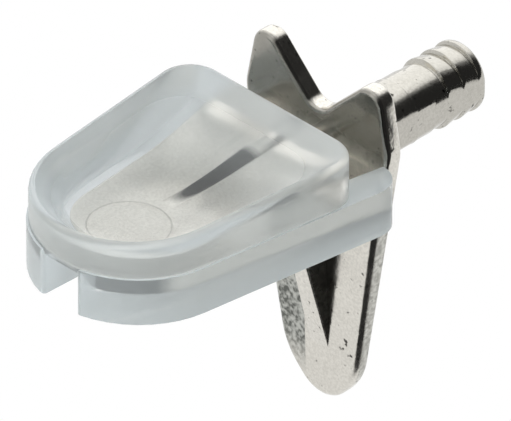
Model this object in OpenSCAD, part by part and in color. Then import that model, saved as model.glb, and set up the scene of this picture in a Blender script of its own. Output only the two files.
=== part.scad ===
// Shelf support pin: one nickel-plated casting (barbed pin, shield plate, tongue and ribs)
// with a clear soft sleeve pushed on over its tongue.
// Millimetres. X is the width, +Y runs along the pin into the cabinet side, +Z is up.
// The origin is on the pin's axis, in the plane of the plate's back face.

/* [Wall pin] */
// Diameter of the pin
pin_d = 3; // [2.6:0.05:3.4]
// Length of the pin behind the plate
pin_length = 7.9; // [7.2:0.1:11]
// Width across the two flats that run along the pin
pin_flats_w = 2.78; // [2.74:0.01:2.9]
// Bevel round the free end of the pin
pin_bevel = 0.3; // [0.1:0.05:0.5]
// Number of barbs
barb_count = 3; // [1:1:4]
// Distance from one barb to the next
barb_pitch = 0.9; // [0.6:0.05:1.2]
// Height of a barb above the pin
barb_h = 0.17; // [0.08:0.01:0.3]
// Length of pin left behind the last barb
barb_end = 0.45; // [0.35:0.05:1]

/* [Plate] */
// Thickness of the plate at the pin's height
plate_t = 1; // [0.8:0.05:1.6]
// Draft of the front face, above and below the pin, in degrees
plate_draft = 1.8; // [0.5:0.1:2.4]
// Width at the shoulders, where the plate is widest
plate_w = 8.4; // [7.6:0.1:10]
// Height of the shoulders above the pin's axis
shoulder_z = 1.9; // [1:0.1:2.5]
// Radius of the shoulders
shoulder_r = 2.2; // [1:0.1:2.8]
// Height of the two horns above the pin's axis
horn_z = 4.85; // [4.4:0.05:5.6]
// Distance between the centres of the horns
horn_span = 6; // [5.4:0.1:6.4]
// Radius of the horns
horn_r = 0.85; // [0.6:0.05:1]
// Height of the bottom of the notch above the pin's axis
notch_z = 2.55; // [2:0.05:3]
// Radius of the bottom of the notch
notch_r = 0.85; // [0.5:0.05:1.2]
// Depth of the plate's tip below the pin's axis
tip_z = 12.35; // [11:0.1:14]
// Radius of the tip
tip_r = 1.55; // [1:0.05:1.8]
// Radius of the bends beside the tip
heel_r = 3.4; // [2.5:0.1:4]
// Distance of the centre of a bend past the middle of the plate
heel_over = 1.05; // [0.8:0.05:1.2]

/* [Tongue] */
// Reach of the tongue in front of the plate
tongue_reach = 13.5; // [12:0.1:16]
// Width of the tongue at the plate
tongue_w = 8.1; // [7.4:0.1:8.6]
// Radius of the rounded front end
tongue_end_r = 3; // [2.6:0.1:3.4]
// Height of the top face at the plate above the pin's axis
tongue_top_z = 1.1; // [0.8:0.05:1.3]
// Thickness of the tongue at the plate
tongue_t = 1.2; // [1:0.05:1.3]
// Thickness of the tongue at its front end
tongue_end_t = 0.75; // [0.6:0.05:1]
// Diameter of the round mark on top, near the front end
mark_d = 3.6; // [2:0.1:4.4]
// Distance of the round mark's centre in front of the centre of the rounded end
mark_shift = 0.4; // [0:0.1:0.8]
// Depth of the round mark
mark_depth = 0.06; // [0.02:0.01:0.12]

/* [Ribs] */
// Thickness of the ribs where they join the casting
rib_t = 1.12; // [0.8:0.02:1.4]
// Draft of the ribs' sides, in degrees
rib_draft = 6; // [2:0.5:8]
// Depth of the lower rib in front of the plate, just under the tongue
rib_depth = 1.8; // [1.2:0.1:2.6]
// Distance of the lower rib's end below the pin's axis
rib_end_z = 9.6; // [8:0.1:10.5]
// Radius of the hollow between the lower rib and the tongue
rib_hollow_r = 1.6; // [0.8:0.1:2.4]
// Height of the upper rib at the plate, above the tongue
upper_rib_h = 0.45; // [0.2:0.05:0.6]
// Reach of the upper rib in front of the plate, where it runs out into the tongue
upper_rib_reach = 8.6; // [6:0.1:10.5]
// Draft of the upper rib's sides, in degrees
upper_rib_draft = 1.5; // [0.5:0.1:2]

/* [Sleeve] */
// Height of the rim above the pin's axis
sleeve_top_z = 3.95; // [3.6:0.05:5]
// Width of the flat rim round the dished top
rim_w = 0.25; // [0.15:0.01:0.4]
// Depth of the dished top
dish_depth = 1.55; // [0.8:0.05:1.6]
// Diameter of the round floor of the dish
dish_floor_d = 6.2; // [4:0.1:6.4]
// Distance of that floor's centre behind the centre of the tongue's rounded end
dish_shift = 0.5; // [0:0.1:2]
// Gap between the upper block and the plate
block_gap = 2.2; // [1.5:0.1:3]
// Thickness of the side and front walls
wall_t = 1.35; // [1:0.05:1.8]
// Radius of the back corners of the upper block
block_corner_r = 1.5; // [1:0.1:1.9]
// Radius of the back corners of the skirt
skirt_corner_r = 1.3; // [0.8:0.1:1.5]
// Distance that the skirt stands proud of the block
skirt_step = 0.1; // [0.05:0.01:0.2]
// Height of the skirt
skirt_h = 2.25; // [2:0.05:2.6]
// Height of the skirt's lower edge at the plate, above the pin's axis
skirt_z = -0.6; // [-0.9:0.05:-0.4]
// Slope of the skirt and the tongue up towards the front, in degrees
skirt_slope = 2.4; // [1:0.1:3]
// Width of the slot for the lower rib
slot_w = 1.9; // [1.6:0.1:2.4]
// Clearance between the sleeve and the metal
fit_gap = 0.08; // [0.04:0.01:0.15]

/* [Hidden] */

$fn = 64;
arc_angle = 8;
far = 40;

pin_r = pin_d / 2;
front_y = -plate_t;
barb_sink = 0.02;
barb_lean = atan((barb_h + barb_sink) / barb_pitch);
rise = tan(skirt_slope);
root_r = 0.4;
under_z = tongue_top_z - tongue_t;
rib_sink = tongue_end_t / 2;
heel_slack = 0.05;
rib_end_r = 0.4;
rib_join_r = 0.1;
wall_out = fit_gap + wall_t;

// Angle of the line that touches round a and then round b, both [x, y, r].
// A negative radius is a round that the outline passes on its other side.
function touch(a, b) =
    let (d = [b.x - a.x, b.y - a.y])
    atan2(d.y, d.x) - acos((a[2] - b[2]) / norm(d));

// Turn from angle a on to angle b, in the sense that a round of radius r is passed
function turn(a, b, r) =
    let (t = (b - a) % 360)
    r > 0 ? (t < 0 ? t + 360 : t) : (t > 0 ? t - 360 : t);

// Outline that runs round a list of rounds [x, y, r], anticlockwise,
// with a straight line between each round and the next
function belt(rounds) =
    let (n = len(rounds))
    [for (i = [0:n - 1])
        let (
            c = rounds[i],
            a = touch(rounds[(i + n - 1) % n], c),
            t = turn(a, touch(c, rounds[(i + 1) % n]), c[2]),
            steps = max(1, ceil(abs(t) / arc_angle))
        )
        for (k = [0:steps])
            let (g = a + t * k / steps)
            [c.x + c[2] * cos(g), c.y + c[2] * sin(g)]];

// Rounds of the tongue's plan: its front end, and the corner at its root inside the plate
end_round = [0, front_y - tongue_reach + tongue_end_r, tongue_end_r];
root_round = [tongue_w / 2 - root_r, front_y, root_r];
side_angle = touch(end_round, root_round);

// X at y of a line beside the tongue, parallel to its side and out from it
function beside(y, out) =
    (tongue_end_r + out + (end_round.y - y) * sin(side_angle)) / cos(side_angle);

// Side view [y, z] carried across the width
module across(points) {
    translate([-far / 2, 0, 0])
        rotate([90, 0, 90])
            linear_extrude(far)
                polygon(points);
}

// Plan view [x, y] carried up through the whole height
module upright() {
    translate([0, 0, -far / 2])
        linear_extrude(far)
            children();
}

// Casting

module plate_outline() {
    tip_c = tip_r - tip_z;
    heel_c = tip_c + sqrt(pow(heel_r - tip_r + heel_slack, 2) - pow(heel_over, 2));
    shoulder_x = plate_w / 2 - shoulder_r;
    horn_x = horn_span / 2;
    horn_c = horn_z - horn_r;
    polygon(belt([
        [0, tip_c, tip_r],
        [-heel_over, heel_c, heel_r],
        [shoulder_x, shoulder_z, shoulder_r],
        [horn_x, horn_c, horn_r],
        [0, notch_z + notch_r, -notch_r],
        [-horn_x, horn_c, horn_r],
        [-shoulder_x, shoulder_z, shoulder_r],
        [heel_over, heel_c, heel_r]
    ]));
}

// The front face leans back by the draft angle above and below the pin
module plate() {
    top_t = plate_t - horn_z * tan(plate_draft);
    tip_t = plate_t - tip_z * tan(plate_draft);
    intersection() {
        rotate([90, 0, 0])
            linear_extrude(plate_t)
                plate_outline();
        across([[0, -tip_z], [-tip_t, -tip_z], [-plate_t, 0], [-top_t, horn_z], [0, horn_z]]);
    }
}

// One tooth on one side: a leaning pin, steep towards the plate and level with the pin at its end
module tooth(y, side) {
    intersection() {
        translate([0, y, side * barb_h])
            rotate([-90 - side * barb_lean, 0, 0])
                translate([0, 0, -barb_pitch])
                    cylinder(h = 3 * barb_pitch, r = pin_r);
        translate([-pin_flats_w / 2, y, side > 0 ? 0 : -pin_d])
            cube([pin_flats_w, min(barb_pitch, pin_length - y), pin_d]);
    }
}

// Space inside the pin's two flats and its bevelled end
module pin_limits() {
    proud = 2 * barb_h;
    intersection() {
        rotate([-90, 0, 0])
            rotate_extrude()
                polygon([
                    [0, -plate_t],
                    [pin_r + proud, -plate_t],
                    [pin_r + proud, pin_length - pin_bevel - proud],
                    [pin_r - pin_bevel, pin_length],
                    [0, pin_length]
                ]);
        translate([-pin_flats_w / 2, -plate_t, -pin_d])
            cube([pin_flats_w, plate_t + pin_length, 2 * pin_d]);
    }
}

module pin() {
    intersection() {
        pin_limits();
        union() {
            translate([0, -plate_t / 2, 0])
                rotate([-90, 0, 0])
                    cylinder(h = pin_length + plate_t / 2, r = pin_r);
            for (i = [1:barb_count], side = [-1, 1])
                tooth(pin_length - barb_end - (i - 1) * barb_pitch, side);
        }
    }
}

// Both faces slope up towards the front, and the underside slopes more.
// The same shape, grown by a clearance, is the pocket in the sleeve.
module tongue(grow = 0) {
    back = front_y + plate_t / 2;
    front = end_round.y - tongue_end_r - grow;
    top_front = tongue_top_z + (front_y - front) * rise;
    intersection() {
        upright()
            polygon(belt([
                [0, end_round.y, tongue_end_r + grow],
                [root_round.x, root_round.y, root_round[2] + grow],
                [-root_round.x, root_round.y, root_round[2] + grow]
            ]));
        across([
            [back, tongue_top_z + grow],
            [front_y, tongue_top_z + grow],
            [front, top_front + grow],
            [front, top_front - tongue_end_t - grow],
            [front_y, tongue_top_z - tongue_t - grow],
            [back, tongue_top_z - tongue_t - grow]
        ]);
    }
}

// Round ejector mark, level with the sloping top of the tongue
module round_mark() {
    y = end_round.y - mark_shift;
    translate([0, y, tongue_top_z + (front_y - y) * rise - mark_depth])
        rotate([-skirt_slope, 0, 0])
            cylinder(h = plate_t, r = mark_d / 2);
}

// The sides of a rib draw in by the draft angle as it reaches forward
module rib_plan(reach, draft, grow = 0) {
    base = rib_t / 2 + grow;
    tip = base - reach * tan(draft);
    back = plate_t / 2;
    translate([0, front_y])
        polygon([[base, back], [base, 0], [tip, -reach], [-tip, -reach], [-base, 0], [-base, back]]);
}

// Low rib on top of the tongue, highest at the plate.
// The same shape, grown by a clearance, is its groove in the sleeve.
module upper_rib(grow = 0) {
    reach = upper_rib_reach + grow;
    run_out = front_y - reach;
    intersection() {
        upright() rib_plan(reach, upper_rib_draft, grow);
        across([
            [0, tongue_top_z - rib_sink],
            [0, tongue_top_z + upper_rib_h + grow],
            [front_y, tongue_top_z + upper_rib_h + grow],
            [run_out, tongue_top_z + reach * rise + grow],
            [run_out, tongue_top_z + reach * rise - rib_sink]
        ]);
    }
}

module lower_rib() {
    reach = rib_depth + rib_hollow_r;
    intersection() {
        upright() rib_plan(reach, rib_draft);
        across(belt([
            [front_y + rib_end_r, rib_end_r - rib_end_z, rib_end_r],
            [front_y + rib_end_r, under_z, rib_join_r],
            [front_y - reach, under_z + rib_sink, rib_join_r],
            [front_y - reach, under_z - rib_hollow_r, -rib_hollow_r]
        ]));
    }
}

module metal_support() {
    color([0.72, 0.7, 0.67])
        union() {
            plate();
            pin();
            difference() {
                tongue();
                round_mark();
            }
            upper_rib();
            lower_rib();
        }
}

// Sleeve

// Rounds of the sleeve's plan: the tongue's plan grown by out, with back corners of radius r at y = back
function sleeve_rounds(out, back, r) =
    let (corner_y = back - r, corner_x = beside(corner_y, out - r))
    [
        [0, end_round.y, tongue_end_r + out],
        [corner_x, corner_y, r],
        [-corner_x, corner_y, r]
    ];

// Space between two planes that slope up towards the front, given by their heights at the plate
module between(low, high) {
    across([[0, low], [0, high], [-far, high + (front_y + far) * rise], [-far, low + (front_y + far) * rise]]);
}

module block() {
    foot_z = skirt_z + skirt_h / 2 + block_gap * rise;
    translate([0, 0, foot_z])
        linear_extrude(sleeve_top_z - foot_z)
            polygon(belt(sleeve_rounds(wall_out, front_y - block_gap, block_corner_r)));
}

// The hollow falls from the whole rim to a round floor near the front, so it is shallow at the back
module dish() {
    hull() {
        translate([0, 0, sleeve_top_z])
            linear_extrude(dish_depth)
                polygon(belt(sleeve_rounds(
                    wall_out - rim_w,
                    front_y - block_gap - rim_w,
                    block_corner_r - rim_w
                )));
        translate([0, end_round.y + dish_shift, sleeve_top_z - dish_depth])
            cylinder(h = dish_depth, d = dish_floor_d);
    }
}

module skirt() {
    intersection() {
        upright() polygon(belt(sleeve_rounds(wall_out + skirt_step, front_y - fit_gap, skirt_corner_r)));
        between(skirt_z, skirt_z + skirt_h);
    }
}

// Space for the lower rib, open at the bottom and the front
module slot() {
    intersection() {
        translate([-slot_w / 2, -far, -far / 2])
            cube([slot_w, far, far]);
        between(skirt_z - skirt_h, skirt_z + skirt_h);
    }
}

module clear_sleeve() {
    color([0.85, 0.89, 0.92, 0.45])
        difference() {
            union() {
                block();
                skirt();
            }
            dish();
            tongue(fit_gap);
            upper_rib(fit_gap);
            slot();
        }
}

metal_support();
clear_sleeve();
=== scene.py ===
"""Looks of a shelf support pin: a nickel-plated casting with a clear soft sleeve on its tongue."""

import math

import bmesh
import bpy
import numpy as np
from bpy.props import FloatProperty, FloatVectorProperty, PointerProperty
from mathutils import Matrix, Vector


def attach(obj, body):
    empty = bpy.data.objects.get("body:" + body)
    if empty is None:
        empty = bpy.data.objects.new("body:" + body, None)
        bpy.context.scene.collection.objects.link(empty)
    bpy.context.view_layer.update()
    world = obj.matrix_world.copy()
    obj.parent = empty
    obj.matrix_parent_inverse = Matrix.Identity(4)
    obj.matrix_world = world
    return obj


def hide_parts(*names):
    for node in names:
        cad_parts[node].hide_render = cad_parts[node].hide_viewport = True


bl_info = {
    "name": "Shelf support pin",
    "version": (1, 0, 0),
    "blender": (4, 5, 0),
    "location": "3D View > Sidebar > Shelf Pin",
    "description": "Builds the looks of a cast shelf support pin that carries a clear soft sleeve",
    "category": "Object",
}

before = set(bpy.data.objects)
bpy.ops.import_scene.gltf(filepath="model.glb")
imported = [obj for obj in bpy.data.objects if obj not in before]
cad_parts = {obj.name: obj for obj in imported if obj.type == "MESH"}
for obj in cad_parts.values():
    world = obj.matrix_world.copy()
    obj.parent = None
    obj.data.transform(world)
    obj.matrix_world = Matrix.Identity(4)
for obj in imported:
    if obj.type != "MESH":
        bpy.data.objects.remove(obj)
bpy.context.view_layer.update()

MM = 0.001

# Fineness: the most turn between points of an arc, the mm between points of a straight side, the
# most turn at an edge that is shaded smooth, and the least at an edge of the sleeve that is rounded

ARC_STEP = math.radians(4)
SIDE_STEP = 0.6
SOFT_ANGLE = math.radians(32)
SHARP_ANGLE = 0.5

# Casting, in mm and as in the part's source. A round is (x, y, r) in its own plane, and where r is
# negative the outline bends inward round it.

PLATE_T = 1.0
FRONT_Y = -PLATE_T
PLATE_LEAN = math.tan(math.radians(1.8))
PLATE_BACK_R = 0.2
PLATE_ROUNDS = [
    (0, -10.8, 1.55),  # tip
    (-1.05, -9.2165, 3.4), (2, 1.9, 2.2), (3, 4, 0.85),  # right side, shoulder and horn
    (0, 3.4, -0.85),  # notch
    (-3, 4, 0.85), (-2, 1.9, 2.2), (1.05, -9.2165, 3.4),  # left horn, shoulder and side
]
SLOPE = math.tan(math.radians(2.4))
END_ROUND = (0, -11.5, 3)
TONGUE_ROUNDS = [END_ROUND, (3.65, FRONT_Y, 0.4), (-3.65, FRONT_Y, 0.4)]
TONGUE_TOP, TONGUE_T, TONGUE_END_T, TONGUE_REACH = 1.1, 1.2, 0.75, 13.5
TONGUE_EDGE_R = 0.12
UNDER_Z = TONGUE_TOP - TONGUE_T
UNDER_SLOPE = SLOPE + (TONGUE_T - TONGUE_END_T) / TONGUE_REACH
RIB_T, RIB_EDGE_R, RIB_DRAFT = 1.12, 0.08, math.tan(math.radians(6))
RIB_ROUNDS = [
    (FRONT_Y + 0.63, -9.7, 0.3), (FRONT_Y + 0.4, UNDER_Z, 0.1),  # foot and root, in the plate
    (FRONT_Y - 3.4, UNDER_Z + 0.375, 0.1), (FRONT_Y - 3.4, UNDER_Z - 1.6, -1.6),  # front and hollow
]
UPPER_RIB_REACH, UPPER_RIB_SUNK, UPPER_RIB_DRAFT = 8.6, 0.3, math.tan(math.radians(1.5))
MARK_R, MARK_Y, MARK_HALF_W, MARK_H = 1.8, -11.9, 0.04, 0.02

# Pin, in mm. The flats lie FLAT_X from the axis at the plate and FLAT_GAIN further out at the end.
# A shank station is (y, change of radius), and a tooth station (y past the barb, share of its height).

PIN_R, PIN_LENGTH, PIN_BEVEL, PIN_SUNK = 1.5, 7.9, 0.3, 0.5
PIN_FLARE, PIN_WEAR = 0.25, 0.02
FLAT_X, FLAT_GAIN = 1.27, 0.135
SHANK = np.array([(3.76, 0), (3.8, 0.015), (3.88, -0.01), (4.8, -0.01), (4.95, -0.05), (5.6, -0.05)])
BARBS = (5.65, 6.55, 7.45)
BARB_H = 0.17
TOOTH = np.array([(0, 0.15), (0.03, 0.7), (0.07, 0.95), (0.13, 1), (0.3, 0.8), (0.5, 0.55),
                  (0.7, 0.3), (0.86, 0.1)])

# Sleeve, in mm and as in the part's source

RIM_Z, RIM_R, DISH_DEPTH = 3.95, 0.28, 1.55
DISH_FLOOR = (0, -11, 3.1)
WALL_OUT, BLOCK_BACK, BLOCK_CORNER_R = 1.43, -3.2, 1.5
SKIRT_Z, SKIRT_H, SLOT_W, SLEEVE_FRONT = -0.6, 2.25, 1.9, -16.0
POCKET_GAP = 0.08

# Sleeve's finish, in mm: the rounding along the ledge, the depth of the slot's round corners, the
# length of a piece of the top's border, and how near counts as on a line. The dish is rings that
# shrink to its middle, and its creases are blurred the more the further a ring is from the rim.

LEDGE_EDGE_R, CORNER_DEPTH, BORDER_STEP, NEAR = 0.09, 0.3, 0.3, 0.02
MIDDLE = np.array((0.0, -8.6))
DISH_RINGS, RING_CROWDING = 60, 1.2
MOST_BLUR, BLUR_GAIN = 1.0, 2.2


# Shapes. A part is (points in mm, quads, caps): arrays of points, of quads and of larger faces.

def touch(a, b):
    """Normal angle of the line that touches round a and then round b, both (x, y, r): the direction
    from a to b, less the angle whose cosine is the difference of their radii over their distance."""
    dx, dy = b[0] - a[0], b[1] - a[1]
    return math.atan2(dy, dx) - math.acos((a[2] - b[2]) / math.hypot(dx, dy))


def belt(rounds, inset=0.0):
    """Outline round a list of rounds, anticlockwise and moved in by inset: on each round an arc
    between the two lines that touch its neighbours, then points along the line to the next. The
    points keep their count whatever the inset, so that outlines of several insets join up as rings."""
    pieces = []
    for i, (x, y, r) in enumerate(rounds):
        before, after = rounds[i - 1], rounds[(i + 1) % len(rounds)]
        start, end = touch(before, rounds[i]), touch(rounds[i], after)
        turn = (end - start) % math.tau
        if r < 0 and turn > 0:
            turn -= math.tau
        angles = start + turn * np.linspace(0, 1, max(2, math.ceil(abs(turn) / ARC_STEP)) + 1)
        arc = np.c_[x + (r - inset) * np.cos(angles), y + (r - inset) * np.sin(angles)]
        gap = math.sqrt((after[0] - x) ** 2 + (after[1] - y) ** 2 - (after[2] - r) ** 2)
        cuts = max(1, int(gap / SIDE_STEP))
        share = np.arange(1, cuts)[:, None] / cuts
        pieces += [arc, arc[-1] + share * gap * np.array((-math.sin(end), math.cos(end)))]
    return np.vstack(pieces)


def edge_arc(r, count=5):
    """Quarter round of radius r as rows (inset, drop), from the side wall to the flat face: inset is
    r times 1 minus the cosine, and drop r times the sine, of an angle that grows to 90 degrees."""
    angles = np.linspace(0, math.pi / 2, count)
    return np.c_[r * (1 - np.cos(angles)), r * np.sin(angles)]


def rings(stack, wrap=False):
    """Part made of a stack of equal rings of points, joined by quads. Its ends get a face each, or
    the last ring joins up with the first where wrap is set."""
    stack = np.asarray(stack)
    index = np.arange(stack.shape[0] * stack.shape[1]).reshape(stack.shape[:2])
    low, high = (index, np.roll(index, -1, 0)) if wrap else (index[:-1], index[1:])
    quads = np.stack((low, np.roll(low, -1, 1), np.roll(high, -1, 1), high), -1).reshape(-1, 4)
    return stack.reshape(-1, 3), quads, [] if wrap else [index[0], index[-1]]


def soften(mesh):
    """Smooth shading across gentle edges: the normal at each corner of a face is the sum of the face
    normals round its vertex that lie within the soft angle, each times its face's area."""
    count, corners = len(mesh.polygons), len(mesh.loops)
    normals, areas = np.empty(count * 3), np.empty(count)
    totals, vertex = np.empty(count, int), np.empty(corners, int)
    mesh.polygons.foreach_get("normal", normals)
    mesh.polygons.foreach_get("area", areas)
    mesh.polygons.foreach_get("loop_total", totals)
    mesh.loops.foreach_get("vertex_index", vertex)
    normals = normals.reshape(-1, 3)
    face = np.repeat(np.arange(count), totals)
    order = np.argsort(vertex, kind="stable")
    sizes = np.bincount(vertex)
    starts = np.cumsum(sizes) - sizes
    result = np.empty((corners, 3))
    for size in np.unique(sizes[sizes > 0]):
        group = order[starts[sizes == size][:, None] + np.arange(size)]
        n = normals[face[group]]
        near = (np.einsum("gik,gjk->gij", n, n) > math.cos(SOFT_ANGLE)).astype(float)
        total = np.einsum("gij,gj,gjk->gik", near, areas[face[group]], n)
        result[group] = total / np.maximum(np.linalg.norm(total, axis=2, keepdims=True), 1e-12)
    mesh.polygons.foreach_set("use_smooth", np.ones(count, bool))
    mesh.normals_split_custom_set(result)


def link(obj):
    """Puts a new object into the scene and returns it."""
    bpy.context.scene.collection.objects.link(obj)
    return obj


def solid_object(name, parts, material):
    """One object from closed parts, with their faces turned outward."""
    points, faces, base = [], [], 0
    for verts, quads, caps in parts:
        points.append(verts * MM)
        faces += (quads + base).tolist() + [(cap + base).tolist() for cap in caps]
        base += len(verts)
    mesh = bpy.data.meshes.new(name)
    mesh.from_pydata(np.vstack(points), [], faces)
    work = bmesh.new()
    work.from_mesh(mesh)
    bmesh.ops.recalc_face_normals(work, faces=work.faces)
    work.to_mesh(mesh)
    work.free()
    mesh.materials.append(material)
    soften(mesh)
    return link(bpy.data.objects.new(name, mesh))


def plate_part(front_r):
    """Shield plate: its outline carried from the flat back to the front face, which leans back above
    and below the pin by the height's size times the lean, with a quarter round along each edge. The
    front face is split in two at the height of the pin."""
    stack = []
    for inset, drop in edge_arc(PLATE_BACK_R)[::-1]:
        x, z = belt(PLATE_ROUNDS, inset).T
        stack.append(np.c_[x, np.full(len(x), drop - PLATE_BACK_R), z])
    for inset, drop in edge_arc(front_r):
        x, z = belt(PLATE_ROUNDS, inset).T
        stack.append(np.c_[x, np.abs(z) * PLATE_LEAN - PLATE_T + front_r - drop, z])
    verts, quads, (back, front) = rings(stack)
    right, left = (int(np.argmin(np.where(side * x > 0, np.abs(z), np.inf))) for side in (1, -1))
    upper, lower = front[right:left + 1], np.r_[front[left:], front[:right + 1]]
    return verts, quads, [back, upper, lower]


def pin_part():
    """Wall pin: circles carried along Y. The radius falls along a quarter round from the flare at the
    plate, and along another at the bevelled end. The flats cut off x beyond a distance that grows
    evenly to the end. Barbs rise steeply and slope down to the end, and each lifts the upper half of
    the circle and lowers the lower half. A station is (y, radius, lift)."""
    worn, count, steps = PIN_R - PIN_WEAR, 96, 6
    along = np.linspace(0, PIN_FLARE, steps)
    turn = np.linspace(0, math.pi / 2, steps)
    root = np.c_[along, PIN_R + PIN_FLARE - np.sqrt(PIN_FLARE**2 - (PIN_FLARE - along) ** 2),
                 np.zeros(steps)]
    shank = np.c_[SHANK[:, 0], PIN_R + SHANK[:, 1], np.zeros(len(SHANK))]
    barbs = np.vstack([
        np.c_[y + TOOTH[:, 0], np.full(len(TOOTH), worn), BARB_H * TOOTH[:, 1]] for y in BARBS
    ])
    barbs = barbs[barbs[:, 0] < PIN_LENGTH - PIN_BEVEL]
    end = np.c_[PIN_LENGTH - PIN_BEVEL * (1 - np.sin(turn)), worn - PIN_BEVEL * (1 - np.cos(turn)),
                np.full(steps, barbs[-1, 2])]
    angles = np.arange(count) * math.tau / count
    stack = []
    for y, r, lift in np.vstack([[(-PIN_SUNK, PIN_R + PIN_FLARE, 0)], root, shank, barbs, end]):
        flat = FLAT_X + FLAT_GAIN * max(y, 0) / PIN_LENGTH
        x = np.clip(r * np.cos(angles), -flat, flat)
        z = r * np.sin(angles) + lift * np.sign(np.round(np.sin(angles), 6))
        stack.append(np.c_[x, np.full(count, y), z])
    return rings(stack)


def tongue_part():
    """Tongue: its plan carried from the underside to the top, with a quarter round along each edge.
    Both faces rise by the distance from the plate times their slope, the underside's the steeper."""
    stack = []
    for inset, drop in edge_arc(TONGUE_EDGE_R)[::-1]:
        x, y = belt(TONGUE_ROUNDS, inset).T
        stack.append(np.c_[x, y, UNDER_Z + (FRONT_Y - y) * UNDER_SLOPE + TONGUE_EDGE_R - drop])
    for inset, drop in edge_arc(TONGUE_EDGE_R):
        x, y = belt(TONGUE_ROUNDS, inset).T
        stack.append(np.c_[x, y, TONGUE_TOP + (FRONT_Y - y) * SLOPE - TONGUE_EDGE_R + drop])
    return rings(stack)


def lower_rib_part():
    """Lower rib: deep under the tongue, running out down the plate. Its side view, a belt, is carried
    across its thickness, whose half shrinks by the distance from the plate times the draft."""
    arc = edge_arc(RIB_EDGE_R, 4)
    stack = []
    for side, rows in ((-1, arc[::-1]), (1, arc)):
        for inset, drop in rows:
            y, z = belt(RIB_ROUNDS, inset).T
            half = RIB_T / 2 - (FRONT_Y - y) * RIB_DRAFT
            stack.append(np.c_[side * (half - RIB_EDGE_R + drop), y, z])
    return rings(stack)


def upper_rib_part(high):
    """Upper rib: a low rounded ridge on the tongue, whose section is the upper half of an ellipse on
    a straight foot. The foot is sunk into the tongue, and the rib's start as far into the plate. Its
    height falls evenly from high at the plate to nothing at its reach, and its half width shrinks by
    the distance from the plate times the draft."""
    around = np.linspace(0, math.pi, 17)
    stack = []
    for y in np.linspace(FRONT_Y + UPPER_RIB_SUNK, FRONT_Y - UPPER_RIB_REACH, 24):
        along = np.clip((FRONT_Y - y) / UPPER_RIB_REACH, 0, 1)
        half = RIB_T / 2 - along * UPPER_RIB_REACH * UPPER_RIB_DRAFT
        base = TONGUE_TOP + (FRONT_Y - y) * SLOPE
        x = np.r_[half * np.cos(around), -half, half]
        z = np.r_[base + high * (1 - along) * np.sin(around), np.full(2, base - UPPER_RIB_SUNK)]
        stack.append(np.c_[x, np.full(len(x), y), z])
    return rings(stack)


def mark_part():
    """Round ejector mark on the tongue: circles whose radius and height above the slope follow the
    cosine and sine of an angle that goes once round, so that its section is a small ellipse, half
    sunk in the tongue."""
    around, section = (np.arange(count) * math.tau / count for count in (96, 8))
    stack = []
    for angle in section:
        r = MARK_R + MARK_HALF_W * math.cos(angle)
        y = MARK_Y + r * np.sin(around)
        z = TONGUE_TOP + (FRONT_Y - y) * SLOPE + MARK_H * math.sin(angle)
        stack.append(np.c_[r * np.cos(around), y, z])
    return rings(stack, wrap=True)


def block_rounds():
    """Rounds of the upper block's plan: the tongue's end round grown by the wall, and back corners
    that touch both the back and the line of the tongue's side moved out by the wall. The normal
    angle of that line gives the x of their centres."""
    side = touch(TONGUE_ROUNDS[0], TONGUE_ROUNDS[1])
    r = END_ROUND[2] + WALL_OUT
    y = BLOCK_BACK - BLOCK_CORNER_R
    x = (r - BLOCK_CORNER_R + (END_ROUND[1] - y) * math.sin(side)) / math.cos(side)
    return [(0, END_ROUND[1], r), (x, y, BLOCK_CORNER_R), (-x, y, BLOCK_CORNER_R)]


def directions(count):
    """Unit directions all round, one to a row: the cosine and sine of count equal steps of a turn."""
    angles = np.arange(count) * math.tau / count
    return np.c_[np.cos(angles), np.sin(angles)]


def extent(rounds, across, grow=0.0):
    """How far a convex outline round the rounds reaches along each direction of across: the largest
    of a centre's part along it plus its radius and grow."""
    return np.max([across @ np.array(c[:2]) + c[2] + grow for c in rounds], axis=0)


def dish_height(points, blur):
    """Height of the dish over points (x, y): it falls from the rim to its round floor along the
    straight lines of the hull between them: the share of the way up is the largest, over all
    directions, of how far the point lies past the floor, over how far the rim does. That surface is
    averaged over a disc of radius blur round each point, at its centre, half way out and on its edge,
    which rounds its creases."""
    across = directions(360)
    rim, floor = extent(block_rounds(), across, -RIM_R), extent([DISH_FLOOR], across)
    offsets = np.vstack([[(0, 0)], directions(8) * 0.5, directions(8)])
    total = np.zeros(len(points))
    for offset in offsets:
        share = np.max(((points + offset * blur) @ across.T - floor) / (rim - floor), axis=1)
        total += np.clip(share, 0, None)
    return RIM_Z - DISH_DEPTH * (1 - total / len(offsets))


def on_metal(places):
    """Whether places in mm on the sleeve lie in the pocket that the tongue fills: no further past the
    tongue's plan or below its underside than the gap and a little more, and well below the dish."""
    past, below, thin = POCKET_GAP + 0.01, POCKET_GAP + 0.005, 0.2
    across = directions(72)
    outside = np.max(places[:, :2] @ across.T - extent(TONGUE_ROUNDS, across), axis=1)
    under = UNDER_Z + (FRONT_Y - places[:, 1]) * UNDER_SLOPE
    z = places[:, 2]
    return (outside < past) & (under - below < z) & (z < RIM_Z - DISH_DEPTH - thin)


def round_edges(work, wanted, width):
    """Rounds the sharp outer edges both of whose ends, in mm, are wanted. The rounding reaches width
    across the faces on each side."""
    work.normal_update()
    edges = [e for e in work.edges if e.is_convex and e.calc_face_angle(0) > SHARP_ANGLE
             and all(wanted(v.co / MM) for v in e.verts)]
    bmesh.ops.bevel(work, geom=edges, offset=width, segments=4, profile=0.5,
                    affect="EDGES", clamp_overlap=True)


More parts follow.
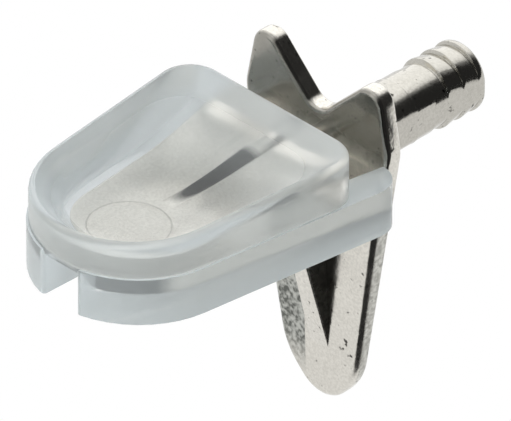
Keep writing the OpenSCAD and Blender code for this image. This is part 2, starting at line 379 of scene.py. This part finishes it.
def open_sleeve(edge_r, corner_r):
    """Mesh of the sleeve's CAD solid with its outer edges rounded and its top taken off, leaving an
    opening whose border is cut into short pieces. The top is what faces upward and lies no lower
    than just under the dish's floor."""
    same, flat, upward, under_floor = 1e-7, math.radians(0.5), 0.2, 0.05
    work = bmesh.new()
    work.from_mesh(bpy.data.objects["clear_sleeve"].data)
    bmesh.ops.remove_doubles(work, verts=work.verts, dist=same)
    bmesh.ops.dissolve_limit(work, angle_limit=flat, verts=work.verts, edges=work.edges)

    def at_height(z):
        """Test for points on the sloping plane that passes the plate's front at height z."""
        return lambda v: abs(v.z - z - (FRONT_Y - v.y) * SLOPE) < NEAR

    def slot_end(v):
        """Whether a point lies on the front corners of the slot."""
        return abs(abs(v.x) - SLOT_W / 2) < NEAR and v.y < SLEEVE_FRONT + CORNER_DEPTH

    round_edges(work, at_height(SKIRT_Z + SKIRT_H), LEDGE_EDGE_R * MM)
    round_edges(work, slot_end, corner_r)
    round_edges(work, at_height(SKIRT_Z), edge_r)
    work.normal_update()
    lowest = (RIM_Z - DISH_DEPTH - under_floor) * MM
    top = [f for f in work.faces if f.normal.z > upward and f.calc_center_median().z > lowest]
    bmesh.ops.delete(work, geom=top, context="FACES")
    for edge in [e for e in work.edges if e.is_boundary]:
        cuts = int(edge.calc_length() / (BORDER_STEP * MM))
        if cuts:
            bmesh.ops.subdivide_edges(work, edges=[edge], cuts=cuts)
    bmesh.ops.triangulate(work, faces=[f for f in work.faces if len(f.verts) > 4])
    mesh = bpy.data.meshes.new("soft_sleeve")
    work.to_mesh(mesh)
    work.free()
    return mesh


def sleeve_mesh(edge_r, corner_r):
    """Sleeve with its top made anew on the opening: a quarter round along the rim, whose inset runs
    at right angles to the border, then rings that shrink to the middle, crowded near the rim, whose
    heights are the dish's, and a fan of triangles in the last."""
    mesh = open_sleeve(edge_r, corner_r)
    points = np.empty(len(mesh.vertices) * 3)
    edge, ends = np.empty(len(mesh.loops), int), np.empty(len(mesh.edges) * 2, int)
    mesh.vertices.foreach_get("co", points)
    mesh.loops.foreach_get("edge_index", edge)
    mesh.edges.foreach_get("vertices", ends)
    points = points.reshape(-1, 3) / MM
    border = np.unique(ends.reshape(-1, 2)[np.bincount(edge) == 1])
    away = points[border, :2] - MIDDLE
    border = border[np.argsort(np.arctan2(away[:, 1], away[:, 0]))]
    points[border, 2] = RIM_Z - RIM_R
    outer = points[border, :2]
    along = np.roll(outer, -1, 0) - np.roll(outer, 1, 0)
    inward = np.c_[-along[:, 1], along[:, 0]] / np.linalg.norm(along, axis=1, keepdims=True)
    count = len(border)
    stack = [np.c_[outer + inward * inset, np.full(count, RIM_Z - RIM_R + rise)]
             for inset, rise in edge_arc(RIM_R, 7)[1:]]
    crest = stack[-1][:, :2]
    for share in 1 - np.linspace(0, 1, DISH_RINGS)[1:-1] ** RING_CROWDING:
        place = MIDDLE + (crest - MIDDLE) * share
        blur = min(MOST_BLUR, BLUR_GAIN * (1 - share))
        stack.append(np.c_[place, np.minimum(dish_height(place, blur), RIM_Z)])
    index = len(points) + np.arange(len(stack) * count).reshape(-1, count)
    _, quads, (_, last) = rings([np.zeros((count, 3))] + stack)
    numbers = np.vstack([border, index]).reshape(-1)
    quads, last = numbers[quads], numbers[last]
    centre = len(points) + len(stack) * count
    fan = np.c_[last, np.roll(last, -1), np.full(count, centre)]
    middle = (*MIDDLE, np.mean(stack[-1][:, 2]))
    points = np.vstack([points] + stack + [[middle]]) * MM
    walls = [tuple(face.vertices) for face in mesh.polygons]
    mesh.clear_geometry()
    mesh.from_pydata(points, [], walls + quads.tolist() + fan.tolist())
    centres = np.empty(len(mesh.polygons) * 3)
    mesh.polygons.foreach_get("center", centres)
    mesh.polygons.foreach_set("material_index", on_metal(centres.reshape(-1, 3) / MM).astype(int))
    return mesh


# Materials. A MapRange node's numbered inputs are 0 the value, 1 and 2 the range that it comes from,
# and 3 and 4 the range that it goes to. Each range is 0 to 1 where none is given.

def srgb(text):
    """Linear colour of an sRGB hex colour: each channel over 12.92 where it is dark, and elsewhere the
    power 2.4 of itself plus 0.055, over 1.055."""
    values = [int(text[i:i + 2], 16) / 255 for i in (1, 3, 5)]
    return (*(v / 12.92 if v <= 0.04045 else ((v + 0.055) / 1.055) ** 2.4 for v in values), 1.0)


def add(tree, kind, inputs=(), **settings):
    """One node with its properties set, and its inputs, by name or number, set to values or linked to
    outputs. A node given as an input stands for its first output in use."""
    node = tree.nodes.new("ShaderNode" + kind)
    for name, value in settings.items():
        setattr(node, name, value)
    for socket, value in dict(inputs).items():
        if isinstance(value, bpy.types.Node):
            value = next(output for output in value.outputs if output.enabled)
        if isinstance(value, bpy.types.NodeSocket):
            tree.links.new(value, node.inputs[socket])
        else:
            node.inputs[socket].default_value = value
    return node


def new_material(name):
    """Empty node material and its tree."""
    material = bpy.data.materials.new(name)
    material.use_nodes = True
    material.node_tree.nodes.clear()
    return material, material.node_tree


def casting_zones(tree, place):
    """Masks of the casting's zones by name, each the product of ramps over where a point is and which
    way its face turns. A ramp is (value, where it is 0, where it is full, how much it is then)."""
    where = add(tree, "SeparateXYZ", {0: place}).outputs
    turned = add(tree, "SeparateXYZ", {0: add(tree, "NewGeometry").outputs["True Normal"]}).outputs
    tilt = add(tree, "Math", {0: turned["Z"]}, operation="ABSOLUTE")
    tongue = add(tree, "MapRange", {
        0: where["Y"], 1: (FRONT_Y - TONGUE_REACH) * MM, 2: FRONT_Y * MM,
        3: (TONGUE_TOP + TONGUE_REACH * SLOPE) * MM, 4: TONGUE_TOP * MM,
    })
    over = add(tree, "Math", {0: where["Z"], 1: tongue}, operation="SUBTRACT")
    ramps = {
        "below the tongue": (where["Z"], 0.5 * MM, -0.5 * MM, 1.0),
        "above the tip": (where["Z"], -11.8 * MM, -9.8 * MM, 1.0),
        "above the tongue": (where["Z"], 0.3 * MM, 0.8 * MM, 1.0),
        "high": (where["Z"], 1.2 * MM, 2.0 * MM, 0.85),
        "faces front": (turned["Y"], -0.3, -0.7, 1.0),
        "faces right": (turned["X"], 0.85, 0.95, 0.6),
        "faces sideways": (tilt, 0.8, 0.5, 1.0),
        "left of the rib": (where["X"], -0.78 * MM, -0.84 * MM, 1.0),
        "on the plate": (where["Y"], 0.1 * MM, 0.0, 1.0),
        "behind the plate": (where["Y"], 0.2 * MM, 0.6 * MM, 0.4),
        "off the plate": (where["Y"], -1.5 * MM, -2.5 * MM, 1.0),
        "behind the block's back": (where["Y"], -4.2 * MM, -4.7 * MM, 1.0),
        "at the tongue's end": (where["Y"], -12.2 * MM, -13.0 * MM, 1.0),
        "proud of the tongue": (over, 0.01 * MM, 0.05 * MM, 1.0),
    }
    zones = {
        # Darker, rougher mottled grey on the lower front left of the lower rib.
        "mottled left front": ("left of the rib", "faces front", "below the tongue", "above the tip"),
        # Painted shade: the mottled grey darkens the plate's right-facing edge below the tongue.
        "painted shade on the right edge": ("on the plate", "faces right", "below the tongue"),
        # Painted shade: darker colour on the upper plate's front faces.
        "painted shade on the upper front": ("high", "faces front"),
        "dull pin": ("behind the plate",),
        # Painted shade: near-black on the tongue's end faces.
        "painted shade at the tongue's end": ("at the tongue's end", "faces sideways"),
        # Painted shade: near-black on the upper rib away from the plate.
        "painted shade on the upper rib": ("behind the block's back", "proud of the tongue"),
        "smooth tongue": ("off the plate", "above the tongue"),
    }
    masks = {}
    for zone, names in zones.items():
        mask = 1.0
        for name in names:
            value, low, high, most = ramps[name]
            ramp = add(tree, "MapRange", {0: value, 1: low, 2: high, 4: most})
            mask = add(tree, "Math", {0: mask, 1: ramp}, operation="MULTIPLY")
        masks[zone] = mask
    return masks


def nickel(settings):
    """Satin nickel plate over a zinc die casting: a pale warm metal, softly waved, with a fine mottled
    skin and small dark pits. The lower front left of the lower rib has a coarse darker, rougher
    mottling, and the same mottling is painted shade on the plate's right-facing edge below the
    tongue. The pin is a darker tone, the upper plate's front faces are darkened as painted shade,
    and the tongue's end and the upper rib, deep inside the clear sleeve, are painted near-black as
    shade."""
    material, tree = new_material("nickel-plated zinc")
    place = add(tree, "TexCoord").outputs["Object"]
    masks = casting_zones(tree, place)
    # (size in mm, detail) of the waves, skin, pits and coarse mottling. The real skin and pits are
    # about 0.05 mm wide, too fine to show, so they are drawn coarser.
    noises = ((1.6, 4), (0.12, 2), (0.3, 3), (0.22, 3))
    waves, skin, pits, coarse_mottle = (
        add(tree, "TexNoise", {"Vector": place, "Scale": 1 / (size * MM), "Detail": detail})
        for size, detail in noises
    )
    usual = {1: 0.35, 2: 0.65}  # where most of a noise's values lie
    smooth = masks["smooth tongue"]
    bare = add(tree, "Math", {0: 1.0, 1: smooth}, operation="SUBTRACT")
    mottle = add(tree, "MapRange", {0: skin, **usual})
    deep = add(tree, "Math", {
        0: add(tree, "MapRange", {0: pits, 1: 0.35, 2: 0.27}), 1: bare,
    }, operation="MULTIPLY")
    # Mottled grey, dark to light by the coarse noise: a tone left of the lower rib, and painted shade on
    # the plate's right edge.
    mottled_grey = add(tree, "Mix", {
        "Factor": add(tree, "MapRange", {0: coarse_mottle, 1: 0.38, 2: 0.62}),
        "A": srgb("#62645f"), "B": srgb("#bebfb9"),
    }, data_type="RGBA")
    # Darker pin tone, and painted shade on the upper plate's front faces.
    dull = add(tree, "Math", {0: masks["painted shade on the upper front"], 1: masks["dull pin"]}, operation="MAXIMUM")
    # Darker, rougher mottling left of the lower rib, and painted shade on the plate's right edge, which
    # is rougher too.
    matt = add(tree, "Math", {0: masks["mottled left front"], 1: masks["painted shade on the right edge"]}, operation="MAXIMUM")
    # Near-black painted shade on the tongue's end and on the upper rib.
    dark = add(tree, "Math", {0: masks["painted shade at the tongue's end"], 1: masks["painted shade on the upper rib"]}, operation="MAXIMUM")
    colour = settings.dark_tone
    for factor, over in (
        (mottle, settings.light_tone),
        # darker pin tone, and painted shade on the upper plate's front faces
        (dull, srgb("#8d8b84")),
        (deep, srgb("#3c3a36")),
        # mottled grey tone left of the lower rib, and painted shade on the plate's right edge
        (matt, mottled_grey),
        # near-black painted shade on the tongue's end and the upper rib
        (dark, srgb("#0c100f")),
    ):
        colour = add(tree, "Mix", {"Factor": factor, "A": colour, "B": over}, data_type="RGBA")
    shiny_rough, dull_rough, tongue_rough, matt_rough = 0.1, 0.24, 0.34, 0.35
    polish = add(tree, "MapRange", {0: waves, **usual, 3: shiny_rough, 4: dull_rough})
    satin = add(tree, "Mix", {"Factor": smooth, "A": polish, "B": tongue_rough})
    rough = add(tree, "Mix", {"Factor": matt, "A": satin, "B": matt_rough})
    wave_depth, pit_depth, pitting, tongue_pitting = 0.06 * MM, 0.012 * MM, 0.5, 0.15
    wavy = add(tree, "Bump", {"Height": waves, "Distance": wave_depth, "Strength": 0.5})
    dented = add(tree, "Bump", {
        "Height": pits, "Distance": pit_depth, "Normal": wavy,
        "Strength": add(tree, "MapRange", {0: smooth, 3: pitting, 4: tongue_pitting}),
    })
    shader = add(tree, "BsdfPrincipled", {
        "Base Color": colour, "Metallic": 1.0, "Roughness": rough, "Normal": dented,
    })
    add(tree, "OutputMaterial", {"Surface": shader})
    return material


def pressed_plastic():
    """Clear vinyl where it lies on the metal without air between: light passes straight through."""
    material, tree = new_material("clear vinyl on metal")
    add(tree, "OutputMaterial", {"Surface": add(tree, "BsdfTransparent")})
    return material


def clear_plastic(settings):
    """Moulded clear soft vinyl, glossy and faintly blue, with a little haze inside. The haze is
    stronger on steep faces and high in the block, where the plastic is thick, than on the thin floor
    of the dish, and stronger in front than behind. The ledge and the underside are matt from the
    mould. The haze of the walls stays over 0.3, because a faint upright line showed on them
    where it passed 0.28."""
    material, tree = new_material("clear vinyl")
    place = add(tree, "SeparateXYZ", {0: add(tree, "TexCoord").outputs["Object"]}).outputs
    turned = add(tree, "SeparateXYZ", {0: add(tree, "NewGeometry").outputs["Normal"]}).outputs
    tilt = add(tree, "Math", {0: turned["Z"]}, operation="ABSOLUTE")
    steep = add(tree, "MapRange", {0: tilt, 1: 0.5, 2: 0.9, 3: 1.0, 4: 0.0})
    high = add(tree, "MapRange", {0: place["Z"], 1: 2.4 * MM, 2: 3.6 * MM})
    thick = add(tree, "Math", {0: steep, 1: high}, operation="MAXIMUM")
    ledge_haze, floor_haze, back_share = 0.7, 0.07, 0.76
    low = add(tree, "MapRange", {0: place["Z"], 1: 2.33 * MM, 2: 2.38 * MM, 3: ledge_haze, 4: 0.0})
    matt = add(tree, "Math", {0: low, 1: steep}, operation="SUBTRACT")
    milky = add(tree, "MapRange", {0: thick, 3: floor_haze, 4: settings.haze})
    ahead = add(tree, "MapRange", {
        0: place["Y"], 1: -2.0 * MM, 2: -13.0 * MM, 3: back_share, 4: 1.0,
    }, interpolation_type="SMOOTHSTEP")
    milky = add(tree, "Math", {0: milky, 1: ahead}, operation="MULTIPLY")
    haze = add(tree, "Math", {0: milky, 1: matt}, operation="MAXIMUM")
    floor_rough, wall_rough, rim_rough, vinyl_ior = 0.05, 0.14, 0.26, 1.46
    rough = add(tree, "Math", {
        0: add(tree, "MapRange", {0: steep, 3: floor_rough, 4: wall_rough}),
        1: add(tree, "MapRange", {0: high, 3: floor_rough, 4: rim_rough}),
    }, operation="MAXIMUM")
    clear = add(tree, "BsdfPrincipled", {
        "Base Color": settings.tone, "Transmission Weight": 1.0, "Roughness": rough, "IOR": vinyl_ior,
    })
    milk = add(tree, "MixShader", {
        0: 0.5, 1: add(tree, "BsdfTranslucent", {"Color": settings.haze_tone}),
        2: add(tree, "BsdfDiffuse", {"Color": settings.haze_tone}),
    })
    add(tree, "OutputMaterial", {"Surface": add(tree, "MixShader", {0: haze, 1: clear, 2: milk})})
    return material


def white_paper():
    """White paper that shows as pure white away from the shadow: to the camera, through clear plastic
    and in shiny metal."""
    material, tree = new_material("white paper")
    ray = add(tree, "LightPath").outputs
    seen = ray["Is Camera Ray"]
    for other in ("Is Transmission Ray", "Is Glossy Ray"):
        seen = add(tree, "Math", {0: seen, 1: ray[other]}, operation="MAXIMUM")
    paper = add(tree, "BsdfDiffuse", {"Color": srgb("#e9e9e9")})
    white = add(tree, "Emission", {"Strength": 1.0})
    add(tree, "OutputMaterial", {"Surface": add(tree, "MixShader", {0: seen, 1: paper, 2: white})})
    return material


# Stage: places and sizes in mm, and powers in watts. CAMERA_END is how many metres the camera sees.
# The room is brightest where a direction's part along ROOM_WAY is ROOM_BRIGHT or less, and darkest
# from ROOM_DARK on.

VIEW_WIDTH, VIEW_MIDDLE, VIEW_WAY = 21.29, (0.93, -5.39, 0), (1, -1, 1)
LENS, SENSOR, CAMERA_END = 1200, 36, 10
FLOOR_FAR, FLOOR_NEAR = 600, 20
LIGHT_AIM = (0, -4, 0)
FRONT_POWER, KEY_WASH_POWER, FRONT_WASH_POWER = 0.015, 0.13, 0.17
ROOM_WAY, ROOM_BRIGHT, ROOM_DARK, DARK_LIGHT = (1, 0, -0.5), -0.5, 0.05, 0.03


def area_light(name, place, size, power, hidden=False):
    """Soft square light at a place in mm, turned towards the object. A hidden one lights matt
    surfaces alone and isn't mirrored."""
    lamp = bpy.data.lights.new(name, "AREA")
    lamp.size = size * MM
    lamp.energy = power
    obj = link(bpy.data.objects.new(name, lamp))
    obj.location = Vector(place) * MM
    aim = obj.location - Vector(LIGHT_AIM) * MM
    obj.rotation_euler = aim.to_track_quat("Z", "Y").to_euler()
    obj.visible_glossy = obj.visible_transmission = not hidden


def build_floor(level):
    """Square of white paper turned by 45 degrees, one side of which passes close to the object on
    the camera's side. A corner's u runs towards the camera, and its v along that side."""
    far, near, turn = FLOOR_FAR * MM, FLOOR_NEAR * MM, math.sqrt(0.5)
    u, v = np.array([(-far, -far), (near, -far), (near, far), (-far, far)]).T
    mesh = bpy.data.meshes.new("floor")
    mesh.from_pydata(np.c_[(u + v) * turn, (v - u) * turn, np.full(4, level)], [], [(0, 1, 2, 3)])
    mesh.materials.append(white_paper())
    link(bpy.data.objects.new("floor", mesh))


def build_room(settings):
    """World: a soft room, bright up to the left and dark down to the right, by a direction's part
    along the room's way. It is white to the camera and through clear plastic, and its bright side is
    white in shiny metal."""
    world = bpy.data.worlds.new("studio")
    bpy.context.scene.world = world
    world.use_nodes = True
    tree = world.node_tree
    tree.nodes.clear()
    way = add(tree, "TexCoord").outputs["Generated"]
    side = add(tree, "VectorMath", {0: way, 1: ROOM_WAY}, operation="DOT_PRODUCT").outputs["Value"]
    soft, bright = (
        add(tree, "MapRange", {0: side, 1: ROOM_BRIGHT, 2: ROOM_DARK, 3: most, 4: least})
        for most, least in ((settings.room_light, DARK_LIGHT), (1.0, 0.0))
    )
    ray = add(tree, "LightPath").outputs
    shine = add(tree, "Math", {0: bright, 1: ray["Is Glossy Ray"]}, operation="MULTIPLY")
    strength = soft
    for white in (ray["Is Camera Ray"], ray["Is Transmission Ray"], shine):
        strength = add(tree, "Math", {0: strength, 1: white}, operation="MAXIMUM")
    room = add(tree, "Background", {"Color": srgb("#ffffff"), "Strength": strength})
    add(tree, "OutputWorld", {"Surface": room})


def build_camera():
    """Long-lens camera that looks down at the object from its front right, as far away as the lens
    needs for the width of its view."""
    lens = bpy.data.cameras.new("camera")
    lens.lens, lens.sensor_width, lens.clip_end = LENS, SENSOR, CAMERA_END
    away = Vector(VIEW_WAY).normalized()
    camera = link(bpy.data.objects.new("camera", lens))
    camera.location = Vector(VIEW_MIDDLE) * MM + away * (VIEW_WIDTH * MM) * LENS / SENSOR
    camera.rotation_euler = away.to_track_quat("Z", "Y").to_euler()
    bpy.context.scene.camera = camera


def build_stage(settings):
    """Camera, floor, lights and room. The key and front lights are mirrored in the metal, and the
    washes bring the matt surfaces to a plain level."""
    build_camera()
    build_floor(settings.floor_level)
    area_light("key", (-95, 90, 110), 300, settings.key_power)
    area_light("front", (-20, -160, 60), 120, FRONT_POWER)
    area_light("key wash", (-95, 85, 120), 220, KEY_WASH_POWER, hidden=True)
    area_light("front wash", (-20, -160, 60), 120, FRONT_WASH_POWER, hidden=True)
    area_light("fill wash", (170, -160, 85), 200, settings.fill_power, hidden=True)
    build_room(settings)
    bpy.context.scene.view_settings.view_transform = "Standard"


# Pieces

def build_casting(settings):
    """Casting: plate, pin, tongue and ribs in one piece."""
    parts = [
        plate_part(settings.edge_radius / MM), pin_part(), tongue_part(), lower_rib_part(),
        upper_rib_part(settings.rib_height / MM), mark_part(),
    ]
    piece = solid_object("nickel_casting", parts, nickel(settings))
    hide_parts("metal_support")
    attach(piece, "root")


def build_sleeve(settings):
    """Sleeve: the moulded piece with a round rim, a dished top and rounded edges."""
    mesh = sleeve_mesh(settings.edge_radius, settings.corner_radius)
    mesh.materials.append(clear_plastic(settings))
    mesh.materials.append(pressed_plastic())
    soften(mesh)
    piece = link(bpy.data.objects.new("soft_sleeve", mesh))
    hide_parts("clear_sleeve")
    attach(piece, "root")


# Add-on

def size_property(name, description, value, low, high):
    """Length property whose default and limits are given in mm."""
    return FloatProperty(name=name, description=description, default=value * MM, min=low * MM,
                         max=high * MM, unit="LENGTH", precision=5)


def colour_property(name, description, text):
    """Colour property with an sRGB hex default."""
    return FloatVectorProperty(name=name, description=description, default=srgb(text), size=4,
                               min=0, max=1, subtype="COLOR")


class CastingSettings(bpy.types.PropertyGroup):
    """Sizes and colours of the casting"""
    edge_radius: size_property("Edge radius", "Rounding along the plate's front edge", 0.28, 0.1, 0.35)
    rib_height: size_property("Upper rib height", "Height of the rib on the tongue", 0.45, 0.2, 0.6)
    light_tone: colour_property("Light tone", "Brighter colour of the plated skin", "#d8d5cd")
    dark_tone: colour_property("Dark tone", "Darker colour of the plated skin", "#cbc8c0")


class SleeveSettings(bpy.types.PropertyGroup):
    """Sizes and colours of the sleeve"""
    edge_radius: size_property("Edge radius", "Rounding along the skirt's lower edge", 0.25, 0.1, 0.3)
    corner_radius: size_property("Corner radius", "Rounding of the corners at the slot", 0.45, 0.1, 0.6)
    haze: FloatProperty(name="Haze", description="Share of milky plastic in the thick places",
                        default=0.4, min=0, max=1, subtype="FACTOR")
    tone: colour_property("Clear tone", "Colour of the clear plastic", "#f5f8fa")
    haze_tone: colour_property("Haze tone", "Colour of the haze in the plastic", "#dee4e5")


class StageSettings(bpy.types.PropertyGroup):
    """Floor and lights"""
    floor_level: FloatProperty(name="Floor level", description="Height of the paper the shadow falls on",
                               default=-45 * MM, min=-0.2, max=-0.013, unit="LENGTH")
    key_power: FloatProperty(name="Key power", description="Power of the large light up to the left",
                             default=0.18, min=0, max=2, unit="POWER")
    fill_power: FloatProperty(name="Fill power", description="Power of the light on the right side",
                              default=0.65, min=0, max=4, unit="POWER")
    room_light: FloatProperty(name="Room light", description="Strength of the bright side of the room",
                              default=0.4, min=0, max=1, subtype="FACTOR")


class SHELFPIN_OT_stage(bpy.types.Operator):
    """Build the camera, floor, lights and room"""
    bl_idname = "shelfpin.stage"
    bl_label = "Build Stage"

    def execute(self, context):
        build_stage(context.scene.shelf_pin_stage)
        return {"FINISHED"}


class SHELFPIN_OT_casting(bpy.types.Operator):
    """Build the nickel-plated casting in place of its solid"""
    bl_idname = "shelfpin.casting"
    bl_label = "Build Casting"

    def execute(self, context):
        build_casting(context.scene.shelf_pin_casting)
        return {"FINISHED"}


class SHELFPIN_OT_sleeve(bpy.types.Operator):
    """Build the clear soft sleeve in place of its solid"""
    bl_idname = "shelfpin.sleeve"
    bl_label = "Build Sleeve"

    def execute(self, context):
        build_sleeve(context.scene.shelf_pin_sleeve)
        return {"FINISHED"}


class SHELFPIN_PT_pieces(bpy.types.Panel):
    """Lists the stage and the pieces with their settings"""
    bl_label = "Shelf Support Pin"
    bl_space_type = "VIEW_3D"
    bl_region_type = "UI"
    bl_category = "Shelf Pin"

    def draw(self, context):
        for operator, group in (("stage", "shelf_pin_stage"), ("casting", "shelf_pin_casting"),
                                ("sleeve", "shelf_pin_sleeve")):
            box = self.layout.box()
            settings = getattr(context.scene, group)
            for name in settings.__annotations__:
                box.prop(settings, name)
            box.operator("shelfpin." + operator)


CLASSES = (
    CastingSettings, SleeveSettings, StageSettings,
    SHELFPIN_OT_stage, SHELFPIN_OT_casting, SHELFPIN_OT_sleeve, SHELFPIN_PT_pieces,
)


def register():
    """Registers the classes and gives the scene their settings."""
    for cls in CLASSES:
        bpy.utils.register_class(cls)
    bpy.types.Scene.shelf_pin_stage = PointerProperty(type=StageSettings)
    bpy.types.Scene.shelf_pin_casting = PointerProperty(type=CastingSettings)
    bpy.types.Scene.shelf_pin_sleeve = PointerProperty(type=SleeveSettings)


def unregister():
    """Takes back what register did, in the opposite order."""
    del bpy.types.Scene.shelf_pin_sleeve
    del bpy.types.Scene.shelf_pin_casting
    del bpy.types.Scene.shelf_pin_stage
    for cls in reversed(CLASSES):
        bpy.utils.unregister_class(cls)


def main():
    """Builds the stage and the pieces."""
    register()
    bpy.ops.shelfpin.stage()
    bpy.ops.shelfpin.casting()
    bpy.ops.shelfpin.sleeve()


if __name__ == "__main__":
    main()
